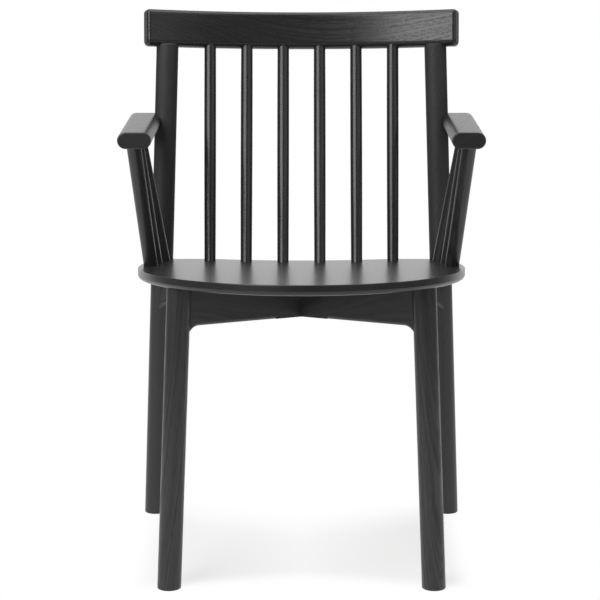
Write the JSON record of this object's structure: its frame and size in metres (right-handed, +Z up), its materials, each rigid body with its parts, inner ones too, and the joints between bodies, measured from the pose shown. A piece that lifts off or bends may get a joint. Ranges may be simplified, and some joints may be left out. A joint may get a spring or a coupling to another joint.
{
  "type": "spindle-back armchair",
  "caption": "Upright wooden armchair with a thin rounded seat, curved top rail, turned back spindles, flat arms on splayed spindles and a crossed underframe; seats one person at a table.",
  "frame": {"origin": "on the floor, under the middle of the chair's box", "axes": "+Z up, the sitter faces -Y, +X to the right as seen from in front of the chair"},
  "size_m": [0.5368, 0.5498, 0.8034],
  "materials": {
    "seat_ash": "black-stained ash, open pores, satin lacquer",
    "frame_ash": "black-stained ash, open pores, satin lacquer",
    "dowel_beech": "plain fluted beech, unfinished",
    "screw_steel": "zinc-plated steel",
    "glide_plastic": "black nylon, matt"
  },
  "bodies": {
    "root": {"seat_panel": "seat_ash", "front_leg_left": "frame_ash", "front_leg_right": "frame_ash", "rear_leg_left": "frame_ash", "rear_leg_right": "frame_ash", "crest_rail": "frame_ash", "back_spindle_left_1": "frame_ash", "back_spindle_left_2": "frame_ash", "back_spindle_left_3": "frame_ash", "back_spindle_right_1": "frame_ash", "back_spindle_right_2": "frame_ash", "back_spindle_right_3": "frame_ash", "armrest_left": "frame_ash", "armrest_right": "frame_ash", "arm_spindle_left_front": "frame_ash", "arm_spindle_left_middle": "frame_ash", "arm_spindle_left_rear": "frame_ash", "arm_spindle_right_front": "frame_ash", "arm_spindle_right_middle": "frame_ash", "arm_spindle_right_rear": "frame_ash", "cross_rail_left": "frame_ash", "cross_rail_right": "frame_ash", "arm_dowels": "dowel_beech", "seat_screws": "screw_steel", "floor_glides": "glide_plastic"}
  },
  "joints": []
}
